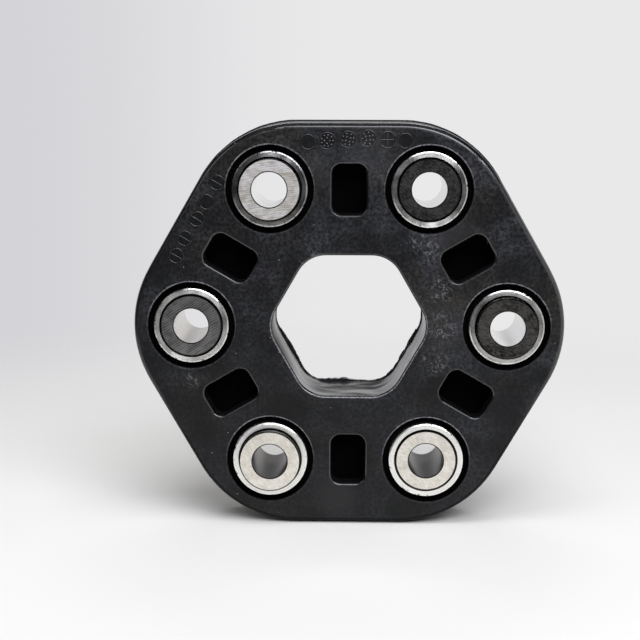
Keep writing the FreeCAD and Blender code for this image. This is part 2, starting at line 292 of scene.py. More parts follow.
def ridge(
    path: np.ndarray, up: Row, side: Row, width: Row, height: Row, sink: float, closed: bool
) -> Mesh:
    """A low ridge along a path: at each point a lens stands on the surface and sinks a little into it.

    A point of the section is the path's point, plus half the width times the cosine along the side, plus
    the height (above) or the sink (below) times the sine along up.

    Args:
        path: Points on the surface.
        up: The surface's outward direction, once or for each point, as the next three are.
        side: The direction across the ridge.
        width: The ridge's width.
        height: Its height.
        sink: How deep its root lies.
        closed: Whether the path's end joins its start.

    Returns:
        Points and faces.
    """
    up, side = (np.broadcast_to(way, path.shape)[:, None] for way in (up, side))
    width, height = (np.broadcast_to(size, len(path))[:, None] for size in (width, height))
    turn = np.linspace(0, 2 * np.pi, 10, endpoint=False)
    rise = np.where(np.sin(turn) > 0, height * np.sin(turn), sink * np.sin(turn))
    across = width / 2 * np.cos(turn)
    points = path[:, None] + up * rise[..., None] + side * across[..., None]
    return points.reshape(-1, 3), grid_quads(len(path), turn.size, closed, True)


def joined(parts: list[Mesh]) -> Mesh:
    """Several meshes as one, with the faces of each counted on from the points before it."""
    starts = np.cumsum([0] + [len(p) for p, _ in parts[:-1]])
    return np.concatenate([p for p, _ in parts]), np.concatenate([q + s for (_, q), s in zip(parts, starts)])


def rounded_hexagon(flats: float, corner: float, count: int) -> Mesh:
    """Evenly spaced points and outward directions on a hexagon with round corners.

    Round each corner the outward direction turns by the pitch, and along each side it stays. A point is its
    corner's centre, slid towards the next one along a side, plus the corner's radius along that direction.

    Args:
        flats: The width over flats.
        corner: The radius of the corners.
        count: How many points there are.

    Returns:
        Points and directions, with Y at 0.
    """
    side = (flats / 2 - corner) / math.cos(PITCH / 2)
    arc = corner * PITCH
    number, rest = np.divmod(np.linspace(0, BUSHINGS * (side + arc), count, endpoint=False), side + arc)
    angle = PITCH * (number + np.clip(rest / arc, 0, 1) - 0.5)
    slide = np.clip((rest - arc) / side, 0, 1)[:, None]
    still = np.zeros(count)

    def towards(a: np.ndarray) -> np.ndarray:
        """The direction at an angle about the shaft axis."""
        return np.stack([np.cos(a), still, np.sin(a)], -1)

    centre = side * (towards(PITCH * number) * (1 - slide) + towards(PITCH * (number + 1)) * slide)
    return centre + corner * towards(angle), towards(angle)


def ragged(count: int, seed: int, runs: tuple[int, ...]) -> np.ndarray:
    """A closed row of uneven numbers from 0 to 1: smooth noise at several spacings, added up.

    Args:
        count: How many numbers there are.
        seed: Fixes the noise.
        runs: How many knots each layer has, coarse first, each at half the weight of the last.

    Returns:
        The numbers.
    """
    dice = np.random.default_rng(seed)
    where = np.linspace(0, 1, count, endpoint=False)
    total, weight = np.zeros(count), 1.0
    for knots in runs:
        total += weight * np.interp(where, np.linspace(0, 1, knots), dice.random(knots), period=1)
        weight /= 2
    return (total - total.min()) / np.ptp(total)


@dataclass(frozen=True)
class Zones:
    """Where a point of the rubber lies, as sockets and nodes of a node tree.

    These are its place, the noises there, its depth along Y and its level over the middle plane in metres,
    its bushing, and masks from 0 to 1: the shown face, the deep hollows, the satin ground of the face, the
    wall of the hole, the straight part of the rim, and the part of the rim that is dull.
    """

    place: Socket
    noises: dict[str, Node]
    depth: Socket
    level: Node
    around: Around
    shown: Node
    deep: Node
    satin: Node
    wall: Node
    rim: Node
    dull: Node


@dataclass(frozen=True)
class MouldedRubber:
    """Natural rubber filled with carbon black, cured in a polished steel mould.

    It gives the eye a satin black on the faces with a thin grey bloom, wipe marks and pale dust, a glossier
    skin on the rim and in the hole, and hollows painted near-black as shade, with no bloom or dust. The
    bloom grows heavier towards the upper right as a painted sheen of the key light, and the rubbed grey of
    the recess lips, of the hole's lower hem and of the raised marks also paints their highlights. Its grain
    is drawn at
    0.5 mm, as coarse as the picture needs, where the real one is a few hundredths.
    """

    black: str = "#08090a"
    # Near-black painted shade of the pockets and recesses.
    hollow_shade: str = "#030303"
    bloom: str = "#3a3b40"
    brown: str = "#3c3934"
    haze: str = "#4b4b4c"
    dust: str = "#8b8a85"
    # Grey of rubbed places, also used for painted highlights on the recess lips, the hole's hem and the
    # marks.
    wear_and_highlight: str = "#8a8a90"
    ior: float = 1.52
    face_roughness: float = 0.4
    skin_roughness: float = 0.2
    rim_roughness: float = 0.3
    hollow_roughness: float = 0.8
    face_specular: float = 0.24
    skin_specular: float = 1.0
    rim_specular: float = 0.6
    dull_specular: float = 0.1
    dull_roughness: float = 0.5
    dull_rim: Pair = (-45.0, 5.0)
    hollow_specular: float = 0.05
    skin_bloom: float = 0.3
    grain_depth: float = 0.04
    wave_height: float = 0.08
    haze_share: float = 0.17
    scuff_share: float = 0.36
    # The hole's hem: rubbed grey on the lower half of its front fillet, which paints that fillet's
    # highlight.
    hem_highlight_share: float = 0.8
    hem: Triple = (FACE_LEVEL - 0.22, 0.12, 0.24)
    hem_highlight_top: float = 10.0
    lip: Triple = (RECESS_RADIUS + 0.2, 0.1, 0.35)
    lip_level: Pair = (FACE_LEVEL - 0.6, FACE_LEVEL - 0.3)
    # The raised parts of the marks are rubbed grey, which also paints the glints on them.
    top_level: Pair = (FACE_LEVEL + 0.22, FACE_LEVEL + 0.36)
    mark_top_highlight_share: float = 0.4
    # The way and reach of a painted sheen of the key light: the bloom grows heavier towards the upper right.
    sheen_way: Triple = (0.5, 0.0, 0.87)
    sheen_reach: float = 60.0
    streak: float = 13.0
    streak_length: float = 12.0
    streak_depth: float = 0.8
    dust_pitch: float = 3.0
    dust_share: float = 0.2
    dust_edge: Pair = (0.03, 0.075)
    right_lean: float = 0.12
    left_lean: float = 0.5
    lean_reach: Pair = (8.0, 22.0)
    wall_side: float = math.radians(-20)
    pocket_ring: Pair = (48.0, 14.0)
    pocket_level: Pair = (7.0, 12.4)
    wall_level: Pair = (12.0, 13.4)
    hole_reach: Pair = (32.0, 34.0)
    # What its patterns grow from: the size in millimetres, detail, roughness and distortion of each noise.
    noises: tuple[tuple[str, float, float, float, float], ...] = (
        ("cloud", 16.0, 5.0, 0.62, 0.0), ("mottle", 1.2, 4.0, 0.65, 0.0), ("tint", 24.0, 2.0, 0.5, 0.0),
        ("smear", 2.6, 4.0, 0.5, 2.2), ("rub", 1.2, 4.0, 0.7, 0.0), ("grain", 0.5, 2.0, 0.5, 0.0),
        ("wave", 7.0, 1.0, 0.5, 0.0),
    )
    hazes: tuple[Triple, ...] = (
        (-12.0, 54.0, 10.0), (7.0, 60.0, 14.0), (34.0, 34.0, 14.0), (34.0, 0.0, 14.0), (-4.0, -61.0, 11.0),
    )
    scuffs: tuple[Triple, ...] = (
        (26.0, 28.0, 8.0), (31.5, 13.0, 7.0), (33.0, 0.0, 8.0), (30.0, -12.0, 6.5), (-13.0, 22.0, 6.0),
        (-55.0, -20.0, 4.0),
    )

    def material(self, marks: list[Pair], mark_radius: float) -> Material:
        """Builds the material on Object coordinates.

        Args:
            marks: The middles of the mould's marks on the front face, as X and Z.
            mark_radius: The radius within which a mark's ground is darker.

        Returns:
            The material.
        """
        material, add, shader = new_material("moulded_natural_rubber")
        zones = self.zones(add)
        bloom_and_sheen = self.bloom_and_sheen(add, zones, marks, mark_radius)
        colour = self.worn_and_highlit(add, zones, self.marked(add, zones, self.skin(add, zones, bloom_and_sheen)))

        low, high = (self.face_roughness + swing for swing in GLOSS_SWING)
        mottle = zones.noises["mottle"]
        face_gloss = add("MapRange", {0: mottle, 1: 0.25, 2: 0.75, 3: low, 4: high}, **SMOOTH)
        gloss, sheen = self.skin_roughness, self.skin_specular
        for zone, zone_gloss, zone_sheen in (
            (zones.rim, self.rim_roughness, self.rim_specular),
            (zones.dull, self.dull_roughness, self.dull_specular),
            (zones.deep, self.hollow_roughness, self.hollow_specular),
            (zones.satin, face_gloss, self.face_specular),
        ):
            gloss = add("Mix", {0: zone, 2: gloss, 3: zone_gloss})
            sheen = add("Mix", {0: zone, 2: sheen, 3: zone_sheen})
        feed(shader, {
            "Base Color": colour, "Roughness": gloss, "Specular IOR Level": sheen, "IOR": self.ior,
            "Normal": self.relief(add, zones),
        })
        return material

    def zones(self, add: Add) -> Zones:
        """Finds the faces, the hollows and the glossy skin from the place alone.

        Args:
            add: Adds a node to the tree.

        Returns:
            The point's place and masks.
        """
        place = add("TexCoord").outputs["Object"]
        x, depth, z = add("SeparateXYZ", {0: place}).outputs
        noises = {}
        for name, size, detail, roughness, distortion in self.noises:
            noise = {"Scale": 1 / (size * MM), "Detail": detail, "Roughness": roughness}
            noises[name] = add("TexNoise", {"Vector": place, "Distortion": distortion, **noise})
        level = add("Math", {0: depth}, operation="ABSOLUTE")
        around = around_bushing(add, place)
        across = add("CombineXYZ", {0: x, 2: z})
        reach = add("VectorMath", {0: across}, operation="LENGTH").outputs["Value"]
        # What is measured, where its step starts and ends, and the mask before and after it.
        steps = (
            (level, FACE_LEVEL - 0.2, FACE_LEVEL - 0.05, 0.0, 1.0),
            (around.near, RECESS_RADIUS + 0.2, RECESS_RADIUS + 0.5, 0.0, 1.0),
            (level, FACE_LEVEL + 0.03, FACE_LEVEL + 0.1, 1.0, 0.0),
            (level, *self.pocket_level, 1.0, 0.0),
            (level, *self.wall_level, 1.0, 0.0),
            (reach, *self.hole_reach, 1.0, 0.0),
            (z, *self.dull_rim, 1.0, 0.0),
        )
        open_face, outside, flat, buried, straight, in_hole, below = (
            add("MapRange", {0: value, 1: start * MM, 2: end * MM, 3: first, 4: last}, **SMOOTH)
            for value, start, end, first, last in steps
        )
        shown = add("Math", {0: open_face, 1: outside}, **TIMES)
        satin = add("Math", {0: shown, 1: flat}, **TIMES)
        middle, half = self.pocket_ring
        in_pocket = band(add, reach, middle, half - 1, half)
        pocket = add("Math", {0: in_pocket, 1: buried}, **TIMES)
        recess = add("Math", {0: 1.0, 1: outside}, operation="SUBTRACT")
        deep = add("Math", {0: pocket, 1: recess}, operation="MAXIMUM")
        wall = add("Math", {0: in_hole, 1: shown}, **LESS)
        rim = add("Math", {0: straight, 1: in_hole}, **LESS)
        open_below = add("Math", {0: below, 1: outside}, **TIMES)
        beyond = add("Math", {0: open_below, 1: in_pocket}, **LESS)
        dull = add("Math", {0: beyond, 1: in_hole}, **LESS)
        return Zones(place, noises, depth, level, around, shown, deep, satin, wall, rim, dull)

    def bloom_and_sheen(self, add: Add, zones: Zones, marks: list[Pair], mark_radius: float) -> Node:
        """How thick the grey bloom lies: cloudy, mottled, and thinner on the grounds of the marks, which
        makes them darker. It also grows heavier towards the upper right, as a painted sheen of the key
        light.

        Args:
            add: Adds a node to the tree.
            zones: Where the point lies.
            marks: The middles of the mould's marks, as X and Z.
            mark_radius: The radius of a mark's darker ground.

        Returns:
            A thickness from 0 to 1.
        """
        clouds = add("MapRange", {0: zones.noises["cloud"], 1: 0.36, 2: 0.66, 3: 0.15}, **SMOOTH)
        mottled = add("MapRange", {0: zones.noises["mottle"], 1: 0.34, 2: 0.68, 3: 0.1}, **SMOOTH)
        patchy = add("Math", {0: clouds, 1: mottled}, **TIMES)
        # Painted sheen of the key light: the bloom grows heavier towards the upper right.
        across = add("VectorMath", {0: zones.place, 1: self.sheen_way}, operation="DOT_PRODUCT")
        far = self.sheen_reach * MM
        painted_sheen = add("MapRange", {0: across.outputs["Value"], 1: -far, 2: far, 3: 0.35})
        bloom_and_sheen = add("Math", {0: patchy, 1: painted_sheen}, **TIMES)
        for mark in marks:
            ground = self.patch(add, zones, mark, (mark_radius - 0.2, mark_radius + 0.3), (0.15, 1.0))
            bloom_and_sheen = add("Math", {0: bloom_and_sheen, 1: ground}, **TIMES)
        return bloom_and_sheen

    def patch(self, add: Add, zones: Zones, middle: Pair, radii: Pair, values: Pair) -> Node:
        """A round patch on the front face: one value inside the first radius, the other beyond the second.

        Args:
            add: Adds a node to the tree.
            zones: Where the point lies.
            middle: Its X and Z.
            radii: The two radii.
            values: The two values.

        Returns:
            The patch's value.
        """
        centre = (middle[0] * MM, -FACE_LEVEL * MM, middle[1] * MM)
        gap = add("VectorMath", {0: zones.place, 1: centre}, operation="DISTANCE").outputs["Value"]
        edge = {0: gap, 1: radii[0] * MM, 2: radii[1] * MM, 3: values[0], 4: values[1]}
        return add("MapRange", edge, **SMOOTH)

    def skin(self, add: Add, zones: Zones, bloom_and_sheen: Node) -> Node:
        """Black rubber under the bloom, with the hazy places of the front face, and in the hollows a darker
        black without bloom, which is painted shade.

        Args:
            add: Adds a node to the tree.
            zones: Where the point lies.
            bloom_and_sheen: How thick the bloom lies, with its painted sheen.

        Returns:
            The colour.
        """
        thin = add("Mix", {0: zones.shown, 2: self.skin_bloom, 3: 1.0})
        # Painted shade: no bloom in the hollows.
        unshaded = add("Math", {0: 1.0, 1: zones.deep}, operation="SUBTRACT")
        coat = add("Math", {0: thin, 1: unshaded}, **TIMES)
        bloomed = add("Math", {0: bloom_and_sheen, 1: coat}, **TIMES)
        tint = add("MapRange", {0: zones.noises["tint"], 1: 0.45, 2: 0.7}, **SMOOTH)
        bloom = add("MixRGB", {0: tint, 1: self.bloom, 2: self.brown})
        # Painted shade: the hollows get a darker black than the faces.
        black_and_hollow_shade = add("MixRGB", {0: zones.deep, 1: self.black, 2: self.hollow_shade})
        colour = add("MixRGB", {0: bloomed, 1: black_and_hollow_shade, 2: bloom})
        for x, z, size in self.hazes:
            spot = self.patch(add, zones, (x, z), (0.2 * size, size), (self.haze_share, 0.0))
            colour = laid(add, colour, self.haze, spot, coat)
        return colour

    def marked(self, add: Add, zones: Zones, under: Node) -> Node:
        """Specks of dust everywhere but in the painted shade of the hollows, and wipe marks on the front
        face.

        Args:
            add: Adds a node to the tree.
            zones: Where the point lies.
            under: The colour below.

        Returns:
            The colour.
        """
        cells = add("TexVoronoi", {"Vector": zones.place, "Scale": 1 / (self.dust_pitch * MM)})
        inner, outer = self.dust_edge
        away = {0: cells.outputs["Distance"], 1: inner, 2: outer, 3: 1.0, 4: 0.0}
        speck = add("MapRange", away, **SMOOTH)
        pick, _, _ = add("SeparateColor", {0: cells.outputs["Color"]}).outputs
        chosen = add("Math", {0: pick, 1: 1 - self.dust_share}, operation="GREATER_THAN")
        # No dust in the hollows, so that their painted shade stays black.
        dusty = add("Math", {0: chosen, 1: zones.deep}, **LESS)
        colour = laid(add, under, self.dust, speck, dusty)
        smeared = add("MapRange", {0: zones.noises["smear"], 1: 0.5, 2: 0.68}, **SMOOTH)
        for x, z, size in self.scuffs:
            spot = self.patch(add, zones, (x, z), (0.3 * size, size), (self.scuff_share, 0.0))
            colour = laid(add, colour, self.wear_and_highlight, spot, smeared)
        return colour

    def worn_and_highlit(self, add: Add, zones: Zones, under: Node) -> Node:
        """What is rubbed grey, the same grey also painting highlights: the lips of the recesses, most of all
        on their upper sides, the lower half of the hole's hem, and the raised parts of the marks.

        Args:
            add: Adds a node to the tree.
            zones: Where the point lies.
            under: The colour below.

        Returns:
            The colour.
        """
        lip = band(add, zones.around.near, *self.lip)
        # Painted highlight: the lips get more of the rubbed grey on their upper sides.
        above = add("MapRange", {0: zones.around.rise, 1: -0.2, 2: 0.8, 3: 0.12}, **SMOOTH)
        rubbed = add("MapRange", {0: zones.noises["rub"], 1: 0.4, 2: 0.62, 3: 0.35}, **SMOOTH)
        low, high = (level * MM for level in self.lip_level)
        top = add("MapRange", {0: zones.level, 1: low, 2: high}, **SMOOTH)
        lips_rubbed_and_highlit = laid(add, under, self.wear_and_highlight, lip, above, rubbed, top)
        # Painted highlight: rubbed grey on the front fillet of the hole, on its lower half only.
        hem_highlight = band(add, zones.level, *self.hem, self.hem_highlight_share)
        _, _, z = add("SeparateXYZ", {0: zones.place}).outputs
        highlit_lower_half = add("MapRange", {0: z, 1: 0.0, 2: self.hem_highlight_top * MM, 3: 1.0, 4: 0.0}, **SMOOTH)
        colour = laid(add, lips_rubbed_and_highlit, self.wear_and_highlight, hem_highlight, zones.wall, highlit_lower_half, rubbed)
        # Rubbed grey on the raised parts of the marks, which also paints their highlights.
        low, high = (level * MM for level in self.top_level)
        mark_tops_rubbed_and_highlit = add("MapRange", {0: zones.level, 1: low, 2: high, 4: self.mark_top_highlight_share}, **SMOOTH)
        return laid(add, colour, self.wear_and_highlight, mark_tops_rubbed_and_highlit)

    def relief(self, add: Add, zones: Zones) -> Node:
        """Grain on the faces, long flow streaks on the skin, and the lean of the hole's wall.

        The core of the mould stood askew. So the wall on the right leans towards the front by the square of
        its depth, and the wall on the left by the square of what is left of the depth.

        Args:
            add: Adds a node to the tree.
            zones: Where the point lies.

        Returns:
            The surface's direction.
        """
        share = add("MapRange", {0: zones.depth, 1: -FACE_LEVEL * MM, 2: FACE_LEVEL * MM})
        rest = add("Math", {0: 1.0, 1: share}, operation="SUBTRACT")
        side = (math.cos(self.wall_side), 0.0, math.sin(self.wall_side))
        across = add("VectorMath", {0: zones.place, 1: side}, operation="DOT_PRODUCT")
        along = across.outputs["Value"]
        near, far = (d * MM for d in self.lean_reach)
        right = add("MapRange", {0: along, 1: near, 2: far, 4: self.right_lean}, **SMOOTH)
        left = add("MapRange", {0: along, 1: -near, 2: -far, 4: self.left_lean}, **SMOOTH)
        rear = add("Math", {0: share, 1: 2.0}, operation="POWER")
        fore = add("Math", {0: rest, 1: 2.0}, operation="POWER")
        rear_lean = add("Math", {0: rear, 1: right}, **TIMES)
        lean = add("Math", {0: fore, 1: left, 2: rear_lean}, operation="MULTIPLY_ADD")
        amount = add("Math", {0: lean, 1: zones.wall}, **TIMES)
        base = leaning(add, FORWARDS, amount)

        rough = add("Mix", {0: zones.satin, 2: 0.12, 3: 1.0})
        grain = zones.noises["grain"]
        pits = {"Height": grain, "Distance": self.grain_depth * MM, "Strength": rough, "Normal": base}
        fine = add("Bump", pits)
        flow = (1 / (self.streak_length * MM), 1 / (self.streak * MM), 1 / (self.streak_length * MM))
        drawn = add("Mapping", {"Vector": zones.place, "Scale": flow})
        streaks = add("TexNoise", {"Vector": drawn, "Scale": 1.0, "Detail": 1.0, "Roughness": 0.4})
        skin = add("Math", {0: 1.0, 1: zones.satin}, operation="SUBTRACT")
        share = add("Mix", {0: zones.wall, 2: 0.12, 3: 1.0})
        strength = add("Math", {0: skin, 1: share}, **TIMES)
        lines = {"Height": streaks, "Distance": self.streak_depth * MM, "Strength": strength, "Normal": fine}
        streaked = add("Bump", lines)
        wave = zones.noises["wave"]
        swell = {"Height": wave, "Distance": self.wave_height * MM, "Strength": 1.0, "Normal": streaked}
        return add("Bump", swell)


class FaceCut(Enum):
    """How the end faces of a sleeve were cut, as the slant of the tool's marks in degrees."""

    SAWN_LEVEL = 8.0
    SAWN_SLANTED = 32.0
    BLASTED = -20.0
    GROUND = -38.0


@dataclass(frozen=True)
class CutSteel:
    """Drawn steel tube, parted off and left bare.

    Its end faces show the rows of the saw or the stone, its bore is smooth from the die, its skin is dark
    with scale, and its chamfered edges are drawn as dark as the skin. The dark bore colours of the ground
    sleeves are painted shade. The rows are drawn coarser than the real ones, which the picture can't show.
    """

    name: str
    cut: FaceCut
    colour: str
    shade: str
    bore: str
    bore_light: str
    roughness: float
    groove_pitch: float
    groove_depth: float
    groove_length: float
    evenness: float
    scale_colour: str = "#2a2927"
    bore_roughness: float = 0.2
    bow: float = 9.0
    bow_size: float = 5.0
    stain: float = 4.0
    face_radii: Pair = (6.36, 10.28)
    rim_width: float = 0.14
    hem_width: float = 0.1

    def material(self) -> Material:
        """Builds the material on Object coordinates.

        Returns:
            The material.
        """
        material, add, shader = new_material(self.name)
        coordinates = add("TexCoord")
        place = coordinates.outputs["Object"]
        _, facing, _ = add("SeparateXYZ", {0: coordinates.outputs["Normal"]}).outputs
        square = add("Math", {0: facing}, operation="ABSOLUTE")
        end = add("MapRange", {0: square, 1: 0.8, 2: 0.95}, **SMOOTH)
        rows = self.rows(add, place)

        noise = {"Vector": place, "Scale": 1 / (self.stain * MM), "Detail": 3.0, "Roughness": 0.6}
        stain = add("TexNoise", noise)
        mixed = add("Math", {0: stain, 1: 0.8, 2: rows}, operation="MULTIPLY_ADD")
        tone = add("MapRange", {0: mixed, 1: 0.6, 2: 1.15}, **SMOOTH)
        face = add("MixRGB", {0: tone, 1: self.shade, 2: self.colour})
        # For the ground sleeves these bore colours are dark: painted shade in their bores.
        tube = add("MixRGB", {0: stain, 1: self.bore, 2: self.bore_light})
        bare = add("MixRGB", {0: end, 1: tube, 2: face})

        near = around_bushing(add, place).near
        inner, outer = self.face_radii
        rim = add("MapRange", {0: near, 1: outer * MM, 2: (outer + self.rim_width) * MM}, **SMOOTH)
        inside = {0: near, 1: inner * MM, 2: (inner + self.hem_width) * MM, 3: 1.0, 4: 0.0}
        hem = add("MapRange", inside, **SMOOTH)
        past_bore = add("MapRange", {0: near, 1: (inner - 0.29) * MM, 2: (inner - 0.24) * MM})
        chamfer = add("Math", {0: hem, 1: past_bore}, **TIMES)
        # The skin beyond the rim is dark with scale, and both chamfers are drawn as dark as it.
        dark = add("Math", {0: rim, 1: chamfer}, operation="MAXIMUM")
        colour = add("MixRGB", {0: dark, 1: bare, 2: self.scale_colour})

        gloss = add("Mix", {0: end, 2: self.bore_roughness, 3: self.roughness})
        height = add("Math", {0: rows, 1: end}, **TIMES)
        bump = add("Bump", {"Height": height, "Distance": self.groove_depth * MM, "Strength": 1.0})
        feed(shader, {"Base Color": colour, "Roughness": gloss, "Metallic": 1.0, "Normal": bump})
        return material

    def rows(self, add: Add, place: Socket) -> Node:
        """The tool's rows: torn noise drawn out along them, mixed with an even wave that bows a little.

        Args:
            add: Adds a node to the tree.
            place: Object coordinates.

        Returns:
            The height of the rows, from 0 to 1.
        """
        slant = math.radians(self.cut.value)
        turned = add("Mapping", {"Vector": place, "Rotation": (0.0, slant, 0.0)})
        along, across = 1 / (self.groove_length * self.groove_pitch * MM), 1 / (self.groove_pitch * MM)
        stretched = add("Mapping", {"Vector": turned, "Scale": (along, along, across)})
        noise = {"Vector": stretched, "Scale": 1.0, "Detail": 2.0, "Roughness": 0.55}
        torn = add("TexNoise", noise)
        bowed = add("TexNoise", {"Vector": turned, "Scale": 1 / (self.bow_size * MM), "Detail": 2.0})
        _, _, rise = add("SeparateXYZ", {0: turned}).outputs
        count = add("Math", {0: rise, 1: 2 * math.pi * across}, **TIMES)
        bent = add("Math", {0: bowed, 1: self.bow, 2: count}, operation="MULTIPLY_ADD")
        wave = add("Math", {0: bent}, operation="SINE")
        even = add("MapRange", {0: wave, 1: -1.0, 2: 1.0, 3: 0.25, 4: 0.75})
        return add("Mix", {0: self.evenness, 2: torn, 3: even})


@dataclass(frozen=True)
class TurnedSteel:
    """Free-cutting steel, faced on a lathe.

    The fine rings of the tool draw its highlights out along the spokes, so a ring is bright above and below
    and darker at its sides. They are drawn at 0.22 mm, where the real ones are near 0.08 mm. Small dark
    nicks at the rim come from handling, and the rim's edge is eased. A dark ring on the face beside the gap
    round the sleeve is painted shade.
    """

    name: str
    colour: str
    shade: str
    nick: str = "#2b2a29"
    seam_shade: str = "#151413"
    roughness: float = 0.3
    drawn_out: float = 0.8
    ring_pitch: float = 0.22
    ring_depth: float = 0.012
    hub_radius: float = 13.05
    seam_radius: float = 11.17
    ease: float = 1.1
    patch: float = 5.0
    nick_size: float = 1.3
    nick_reach: Pair = (-0.8, -0.1)

    def material(self) -> Material:
        """Builds the material on Object coordinates.

        Returns:
            The material.
        """
        material, add, shader = new_material(self.name)
        place = add("TexCoord").outputs["Object"]
        around = around_bushing(add, place)
        near = around.near
        turns = add("Math", {0: near, 1: 1 / (self.ring_pitch * MM)}, **TIMES)
        rings = add("TexNoise", {"W": turns, "Scale": 1.0, "Detail": 1.0}, noise_dimensions="1D")
        patch = add("TexNoise", {"Vector": place, "Scale": 1 / (self.patch * MM), "Detail": 4.0})
        mixed = add("Math", {0: rings, 1: 0.5, 2: patch}, operation="MULTIPLY_ADD")
        tone = add("MapRange", {0: mixed, 1: 0.5, 2: 0.95}, **SMOOTH)
        bright = add("MixRGB", {0: tone, 1: self.shade, 2: self.colour})

        start, end = ((self.hub_radius + reach) * MM for reach in self.nick_reach)
        rim = add("MapRange", {0: near, 1: start, 2: end}, **SMOOTH)
        noise = {"Vector": place, "Scale": 1 / (self.nick_size * MM), "Detail": 3.0, "Roughness": 0.65}
        bite = add("TexNoise", noise)
        bitten = add("MapRange", {0: bite, 1: 0.58, 2: 0.64}, **SMOOTH)
        marked = laid(add, bright, self.nick, rim, bitten)
        # Painted shade: a dark ring on the face beside the gap round the sleeve.
        edge = {0: near, 1: self.seam_radius * MM, 2: (self.seam_radius + 0.1) * MM, 3: 1.0, 4: 0.0}
        colour = laid(add, marked, self.seam_shade, add("MapRange", edge, **SMOOTH))
        low, high = (self.roughness + swing for swing in GLOSS_SWING)
        gloss = add("MapRange", {0: patch, 1: 0.3, 2: 0.7, 3: low, 4: high}, **SMOOTH)
        feed(shader, {
            "Base Color": colour, "Roughness": gloss, "Metallic": 1.0, "Anisotropic": self.drawn_out,
            "Tangent": around.spoke, "Normal": self.relief(add, place, near, rings),
        })
        return material

    def relief(self, add: Add, place: Socket, near: Socket, rings: Node) -> Node:
        """The rings of the tool, and the eased rim: there the surface turns back towards its own face.

        Args:
            add: Adds a node to the tree.
            place: Object coordinates.
            near: The distance from the bushing's axis, in metres.
            rings: The height of the rings.

        Returns:
            The surface's direction.
        """
        _, depth, _ = add("SeparateXYZ", {0: place}).outputs
        sign = add("Math", {0: depth}, operation="SIGN")
        level = add("Math", {0: depth}, operation="ABSOLUTE")
        start, end = (self.hub_radius - 0.42) * MM, (self.hub_radius - 0.36) * MM
        out = add("MapRange", {0: near, 1: start, 2: end, 4: self.ease})
        low, high = (FACE_LEVEL + 0.06) * MM, (FACE_LEVEL + 0.1) * MM
        top = add("MapRange", {0: level, 1: low, 2: high})
        share = add("Math", {0: out, 1: top}, **TIMES)
        amount = add("Math", {0: share, 1: sign}, **TIMES)
        eased = leaning(add, BACKWARDS, amount)
        grooves = {"Height": rings, "Distance": self.ring_depth * MM, "Strength": 1.0, "Normal": eased}
        return add("Bump", grooves)


@dataclass(frozen=True)
class WoundCord:
    """Polyester cord dipped in latex, wound in turns round two sleeves and buried in the rubber.

    It would give the eye a dull tan band with fine threads along it, were the rubber cut open.
    """

    thread: str = "#a08763"
    gap: str = "#4b3b28"
    roughness: float = 0.85
    thread_pitch: float = 0.6
    thread_depth: float = 0.12
    fuzz: float = 0.4

    def material(self) -> Material:
        """Builds the material on Object coordinates: the threads lie side by side along Y.

        Returns:
            The material.
        """
        material, add, shader = new_material("wound_polyester_cord")
        place = add("TexCoord").outputs["Object"]
        _, depth, _ = add("SeparateXYZ", {0: place}).outputs
        pitch = 2 * math.pi / (self.thread_pitch * MM)
        turns = add("Math", {0: depth, 1: pitch}, **TIMES)
        swell = add("Math", {0: turns}, operation="SINE")
        fuzz = add("TexNoise", {"Vector": place, "Scale": 1 / (self.fuzz * MM), "Detail": 3.0})
        both = add("Math", {0: fuzz, 1: 0.8, 2: swell}, operation="MULTIPLY_ADD")
        tone = add("MapRange", {0: both, 1: -0.4, 2: 0.9}, **SMOOTH)
        colour = add("MixRGB", {0: tone, 1: self.gap, 2: self.thread})
        bump = add("Bump", {"Height": tone, "Distance": self.thread_depth * MM, "Strength": 1.0})
        feed(shader, {"Base Color": colour, "Roughness": self.roughness, "Normal": bump})
        return material


def dress(node: str, material: Material) -> None:
    """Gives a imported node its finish."""
    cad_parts[node].material_slots[0].material = material


